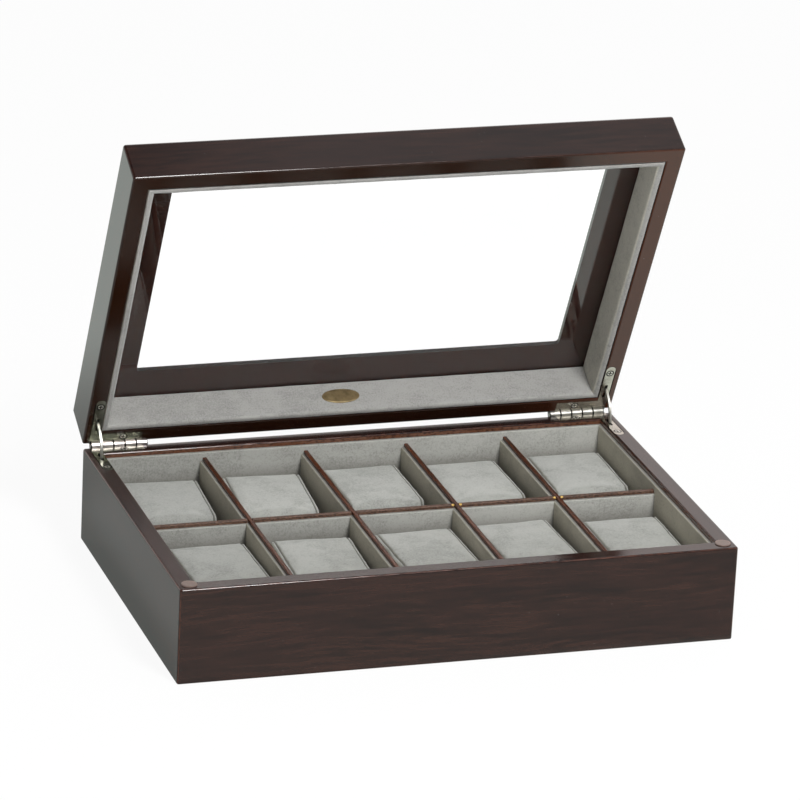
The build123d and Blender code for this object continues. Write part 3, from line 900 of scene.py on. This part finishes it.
def inflate(piece):
    # cloth pressed outwards from inside, with how far it moves capped
    rest = [vertex.co.copy() for vertex in piece.data.vertices]
    padding = piece.modifiers.new("padding", "CLOTH")
    padding.settings.use_pressure = True
    padding.settings.uniform_pressure_force = cushion["pressure"]
    padding.settings.quality = 5
    padding.settings.tension_stiffness = cushion["stiffness"]
    padding.settings.compression_stiffness = cushion["stiffness"]
    padding.settings.bending_stiffness = cushion["bending"]
    padding.settings.effector_weights.gravity = 0
    padding.point_cache.frame_start = 1
    padding.point_cache.frame_end = cushion["frames"]
    for step in range(1, cushion["frames"] + 1):
        bpy.context.scene.frame_set(step)
    editOnly(piece)
    bpy.ops.object.modifier_apply(modifier=padding.name)
    bpy.context.scene.frame_set(1)
    for vertex, before in zip(piece.data.vertices, rest):
        moved = vertex.co - before
        if moved.length > cushion["cap"]:
            vertex.co = before + moved.normalized() * cushion["cap"]


def simulateCushion(size):
    piece = makeCushionShape(size)
    piece.name = "cushionPattern"
    editOnly(piece)
    remesh = piece.modifiers.new("weaveGrid", "REMESH")
    remesh.mode = "VOXEL"
    remesh.voxel_size = cushion["voxel"]
    bpy.ops.object.modifier_apply(modifier=remesh.name)
    inflate(piece)
    smooth = piece.modifiers.new("finer", "SUBSURF")
    smooth.levels = smooth.render_levels = 1
    editOnly(piece)
    bpy.ops.object.modifier_apply(modifier=smooth.name)
    return piece


def cutRings(piece, size):
    # extra rings of points beside both end seams, so that a narrow groove can be pressed in
    editOnly(piece)
    bpy.ops.object.mode_set(mode="EDIT")
    for side in (-1, 1):
        for step in (-3, -2, -1, 0, 1, 2, 3):
            x = side * (size.x / 2 - cushion["seamInset"] + step * cushion["seamHalfWidth"] * 0.6)
            bpy.ops.mesh.select_all(action="SELECT")
            bpy.ops.mesh.bisect(plane_co=(x, 0, 0), plane_no=(1, 0, 0))
    bpy.ops.mesh.select_all(action="SELECT")
    bpy.ops.mesh.remove_doubles(threshold=0.00004)
    closeMesh()


def sewCushion(piece, size, seed):
    mesh = piece.data
    seam = mesh.attributes.new("seamDepth", "FLOAT", "POINT")
    shift = Vector((seed * 7.3, seed * 3.1, seed * 5.7))
    half = size / 2
    normals = [vertex.normal.copy() for vertex in mesh.vertices]
    for vertex, normal in zip(mesh.vertices, normals):
        place = vertex.co.copy()
        out = Vector((0, normal.y, normal.z))
        onBand = min(1.0, out.length * 1.3)
        if out.length > 1e-4:
            out.normalize()
        fromSeam = abs(place.x) - (half.x - cushion["seamInset"])
        groove = math.exp(-(fromSeam / cushion["seamHalfWidth"]) ** 2) * onBand
        inside = max(0.0, 1 - max(0.0, -fromSeam) / cushion["puckerFade"])
        pucker = noise.noise(place / cushion["puckerSize"] + shift) * cushion["pucker"] * inside
        sag = noise.noise(place / cushion["sagSize"] + shift * 2) * cushion["sag"]
        crownShare = max(0.0, 1 - (place.x / half.x) ** 2) * max(0.0, 1 - (place.y / half.y) ** 2)
        crown = cushion["crown"] * crownShare * max(0.0, normal.z)
        vertex.co = place + out * (pucker + sag - groove * cushion["seamDepth"]) + Vector((0, 0, crown))
        seam.data[vertex.index].value = groove
    widest = half.y + cushion["sideSlack"]
    for vertex in mesh.vertices:
        vertex.co.z = max(vertex.co.z, -half.z)
        vertex.co.x = max(-half.x, min(half.x, vertex.co.x))
        vertex.co.y = max(-widest, min(widest, vertex.co.y))


patternSpace = cushionSpace("cushion_rear_1")
pattern = simulateCushion(patternSpace[2])
cutRings(pattern, patternSpace[2])
for index, nodeName in enumerate(sorted(name for name in nodes if name.startswith("cushion"))):
    centre, turn, size = cushionSpace(nodeName)
    piece = copyOf(pattern, "padded" + "".join(part.capitalize() for part in nodeName.split("_")[1:]))
    sewCushion(piece, size, index + 1)
    piece.data.transform(Matrix.Translation(centre) @ Matrix.Rotation(turn, 4, "Z"))
    piece.data.materials.clear()
    piece.data.materials.append(materials["cushionSuede"])
    editOnly(piece)
    bpy.ops.object.shade_smooth()
    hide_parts(nodeName)
    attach(piece, nodeName)
bpy.data.objects.remove(pattern)
print("watch box: ten cushions padded and sewn")


cloth = {
    "step": 3.6 * mm,  # spacing of the points that let the cloth wander
    "rise": 0.14 * mm,
    "patch": 11 * mm,
    "fine": 3.4 * mm,
    "smoothBelow": 50,  # degrees
}


def cutAcross(piece, direction, step):
    # bisects the piece by parallel planes
    reach = [vertex.co.dot(direction) for vertex in piece.data.vertices]
    low, high = min(reach), max(reach)
    count = int((high - low) / step)
    bpy.ops.object.mode_set(mode="EDIT")
    for index in range(1, count + 1):
        bpy.ops.mesh.select_all(action="SELECT")
        along = low + (high - low) * index / (count + 1)
        bpy.ops.mesh.bisect(plane_co=direction * along, plane_no=direction)
    closeMesh()


def wrapBoard(nodeName, body, turn, seed):
    # suede glued over a thin board of the same shape, lying a little unevenly
    piece = copyOf(nodes[nodeName], "cloth" + "".join(part.capitalize() for part in nodeName.split("_")))
    piece.data.name = piece.name
    editOnly(piece)
    if piece.data.has_custom_normals:
        bpy.ops.mesh.customdata_custom_splitnormals_clear()
    openMesh()
    bpy.ops.mesh.remove_doubles(threshold=0.000002)
    closeMesh()
    back = turn.to_3x3().inverted()
    low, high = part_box(nodeName)
    for direction in (Vector((1, 0, 0)), back @ Vector((0, 1, 0)), back @ Vector((0, 0, 1))):
        cutAcross(piece, direction, cloth["step"])
    shift = Vector((seed * 5.1, seed * 2.3, seed * 8.9))
    normals = [vertex.normal.copy() for vertex in piece.data.vertices]
    for vertex, normal in zip(piece.data.vertices, normals):
        fine = 0.4 * noise.noise(vertex.co / cloth["fine"] + shift)
        wander = noise.noise(vertex.co / cloth["patch"] + shift) + fine
        place = vertex.co + normal * wander * cloth["rise"]
        vertex.co = [min(max(place[axis], low[axis]), high[axis]) for axis in range(3)]
    bpy.ops.object.shade_smooth_by_angle(angle=math.radians(cloth["smoothBelow"]))
    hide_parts(nodeName)
    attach(piece, body)


pane = {
    "hair": 0.15 * mm,  # air between the glass and the rails
    "arris": 0.25 * mm,
}


def layPane():
    # the glass with its edges taken off, a hair clear of the rails above it
    corners = [closeLid @ vertex.co for vertex in nodes["glass_pane"].data.vertices]
    ends = [[pick(corner[axis] for corner in corners) for axis in range(3)] for pick in (min, max)]
    low, high = (Vector(end) for end in ends)
    high.z -= pane["hair"]
    bpy.ops.object.select_all(action="DESELECT")
    bpy.ops.mesh.primitive_cube_add(size=1, location=(0, 0, 0))
    piece = bpy.context.active_object
    piece.name = piece.data.name = "polishedPane"
    openMesh()
    bpy.ops.transform.resize(value=high - low)
    bpy.ops.transform.translate(value=(low + high) / 2)
    bpy.ops.mesh.bevel(offset=pane["arris"], segments=1, affect="EDGES")
    closeMesh()
    piece.matrix_world = closeLid.inverted()
    bpy.ops.object.transform_apply(location=True, rotation=True, scale=True)
    piece.data.materials.append(materials["glass"])
    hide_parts("glass_pane")
    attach(piece, "lid")


layPane()
print("watch box: pane laid in the lid")


wrappedNodes = sorted(name for name in nodes if name.endswith("_liner") or name.endswith("_facings"))
for index, nodeName in enumerate(wrappedNodes):
    inLid = nodeName.startswith("lid_")
    wrapBoard(nodeName, "lid" if inLid else "base", closeLid if inLid else asDrawn, index + 1)
print("watch box:", len(wrappedNodes), "boards wrapped in suede")


stage = {
    "size": 14.0,
    "edge": 1.0,  # width of the floor's outermost strip
    "below": 0.02 * mm,  # a hair under the case's foot, so that the two faces don't coincide
    "opening": (0.338, 0.221),  # hidden under the case, so that its underside can be looked at
    "color": color(0.95, 0.95, 0.95),
    "lift": 0.93,  # share of plain white that the camera sees; the rest shows the shadow
    "dimSide": (-0.25, 0.05, 0.0),  # the side that the lamps leave dim
    "near": 0.20,  # reflections of the floor brighten between these distances from there
    "far": 0.46,
    "nearMirrored": 0.8,  # share of plain glow near the box, and its level there and further off
    "nearLevel": 0.36,
    "farLevel": 0.92,
    "mirroredTint": color(0.93, 1.0, 0.94),
    "frontLine": (-0.116, -0.126),  # from here forwards the floor glows evenly in the front's gloss
    "frontTone": color(0.65, 0.65, 0.615),
    "throughGlass": 1.13,  # makes up for what the pane turns away
}


def makeStage():
    bpy.ops.object.select_all(action="DESELECT")
    bpy.ops.mesh.primitive_plane_add(size=stage["size"], location=(0, 0, -stage["below"]))
    floor = bpy.context.active_object
    floor.name = "studioFloor"
    openMesh()
    bpy.ops.mesh.inset(thickness=stage["edge"])
    within = stage["size"] - 2 * stage["edge"]
    bpy.ops.transform.resize(value=(stage["opening"][0] / within, stage["opening"][1] / within, 1.0))
    bpy.ops.mesh.delete(type="ONLY_FACE")
    closeMesh()
    material, tree, shader = newMaterial("paleFloor")
    setSockets(shader, {"Base Color": stage["color"], "Roughness": 1.0, "Specular IOR Level": 0.0})
    seen, mirrored, throughPane = pathShares(tree)
    place = newNode(tree, "TexCoord").outputs["Object"]
    far = rampMask(tree, distanceFrom(tree, place, stage["dimSide"]), stage["near"], stage["far"])
    ahead = rampMask(tree, axesOf(tree, place)["Y"], *stage["frontLine"])
    glow = newNode(tree, "Emission")
    tone = mixColors(tree, ahead, stage["mirroredTint"], stage["frontTone"])
    dimmed = times(tree, minus(tree, 1.0, far), stage["nearLevel"] - stage["farLevel"])
    dimmed = plus(tree, dimmed, stage["farLevel"] - 1)
    dimmed = times(tree, dimmed, minus(tree, 1.0, ahead))
    level = times(tree, mirrored, dimmed)
    madeUp = times(tree, throughPane, stage["throughGlass"] - 1)
    level = plus(tree, plus(tree, level, madeUp), 1.0)
    feed(tree, glow, {"Color": mixColors(tree, mirrored, white, tone), "Strength": level})
    plain = larger(tree, far, ahead)
    mirroredLift = plus(tree, times(tree, plain, 1 - stage["nearMirrored"]), stage["nearMirrored"])
    lift = larger(tree, times(tree, seen, stage["lift"]), times(tree, mirrored, mirroredLift))
    mixer = newNode(tree, "MixShader")
    feed(tree, mixer, {0: lift, 1: shader.outputs[0], 2: glow.outputs[0]})
    feed(tree, tree.nodes["Material Output"], {"Surface": mixer.outputs[0]})
    floor.data.materials.append(material)


studio = {
    "worldLevel": 0.36,  # light that it gives
    "back": 1.1,  # what gloss and metal show of it: behind, overhead and beside, and low in front
    "top": 0.70,
    "topLeft": 0.10,  # overhead, towards the left
    "front": 0.06,
    "backTint": color(1.0, 0.93, 0.91),
    "backRise": (0.35, 0.8),  # parts of a unit direction between which each region fades in
    "rightRise": (0.225, 0.285),
    "lowRise": (0.5, 0.25),
    "frontRise": (-0.5, -0.8),
}


def makeWorld():
    world = bpy.data.worlds.new("softStudio")
    world.use_nodes = True
    bpy.context.scene.world = world
    tree = world.node_tree
    background = tree.nodes["Background"]
    seen, mirrored, throughPane = pathShares(tree)
    direction = newNode(tree, "TexCoord")
    parts = axesOf(tree, direction.outputs["Generated"])
    behind = rampMask(tree, parts["Y"], *studio["backRise"])
    rightwards = rampMask(tree, parts["X"], *studio["rightRise"])
    above = plus(tree, times(tree, rightwards, studio["top"] - studio["topLeft"]), studio["topLeft"])
    room = plus(tree, times(tree, behind, minus(tree, studio["back"], above)), above)
    low = rampMask(tree, parts["Z"], *studio["lowRise"])
    low = times(tree, low, rampMask(tree, parts["Y"], *studio["frontRise"]))
    room = plus(tree, room, times(tree, low, minus(tree, studio["front"], above)))
    extra = times(tree, mirrored, minus(tree, room, studio["worldLevel"]))
    extra = plus(tree, extra, times(tree, seen, 1 - studio["worldLevel"]))
    extra = plus(tree, extra, times(tree, throughPane, stage["throughGlass"] - 1))
    tone = mixColors(tree, times(tree, mirrored, behind), white, studio["backTint"])
    feed(tree, background, {"Color": tone, "Strength": plus(tree, extra, studio["worldLevel"])})


lamps = {
    "key": {"place": (0.30, -1.45, 1.75), "size": (0.40, 0.95), "power": 46.0},
    "back": {"place": (1.2, 1.9, 2.2), "size": (1.6, 1.2), "power": 10.0},
}
lampAim = Vector((0, 0.02, 0.08))


def makeLamps():
    for lampName, values in lamps.items():
        data = bpy.data.lights.new(lampName + "Lamp", "AREA")
        data.shape = "RECTANGLE"
        data.size, data.size_y = values["size"]
        data.energy = values["power"]
        lamp = bpy.data.objects.new(lampName + "Lamp", data)
        bpy.context.scene.collection.objects.link(lamp)
        lamp.location = values["place"]
        lamp.rotation_euler = (lampAim - lamp.location).to_track_quat("-Z", "Y").to_euler()


camera = {
    "aim": (0.03908, 0.13838, 0.070),
    "azimuth": -18.3147,
    "elevation": 20.6270,
    "roll": 2.8116,
    "distance": 3.43686,
    "lens": 242.02,
    "sensor": 36.0,
    "clip": (0.1, 60.0),
}


def makeCamera():
    data = bpy.data.cameras.new("studioCamera")
    data.lens = camera["lens"]
    data.sensor_width = camera["sensor"]
    data.clip_start, data.clip_end = camera["clip"]
    view = bpy.data.objects.new("studioCamera", data)
    bpy.context.scene.collection.objects.link(view)
    around, above = math.radians(camera["azimuth"]), math.radians(camera["elevation"])
    back = Vector((math.sin(around) * math.cos(above), -math.cos(around) * math.cos(above), math.sin(above)))
    right = (-back).cross(Vector((0, 0, 1))).normalized()
    up = right.cross(-back)
    roll = math.radians(camera["roll"])
    across = right * math.cos(roll) + up * math.sin(roll)
    upright = up * math.cos(roll) - right * math.sin(roll)
    place = Vector(camera["aim"]) + back * camera["distance"]
    view.matrix_world = Matrix.Translation(place) @ Matrix((across, upright, back)).transposed().to_4x4()
    bpy.context.scene.camera = view


makeStage()
makeWorld()
makeLamps()
makeCamera()
bpy.context.scene.view_settings.view_transform = "Standard"
print("watch box: stage, lamps and camera")
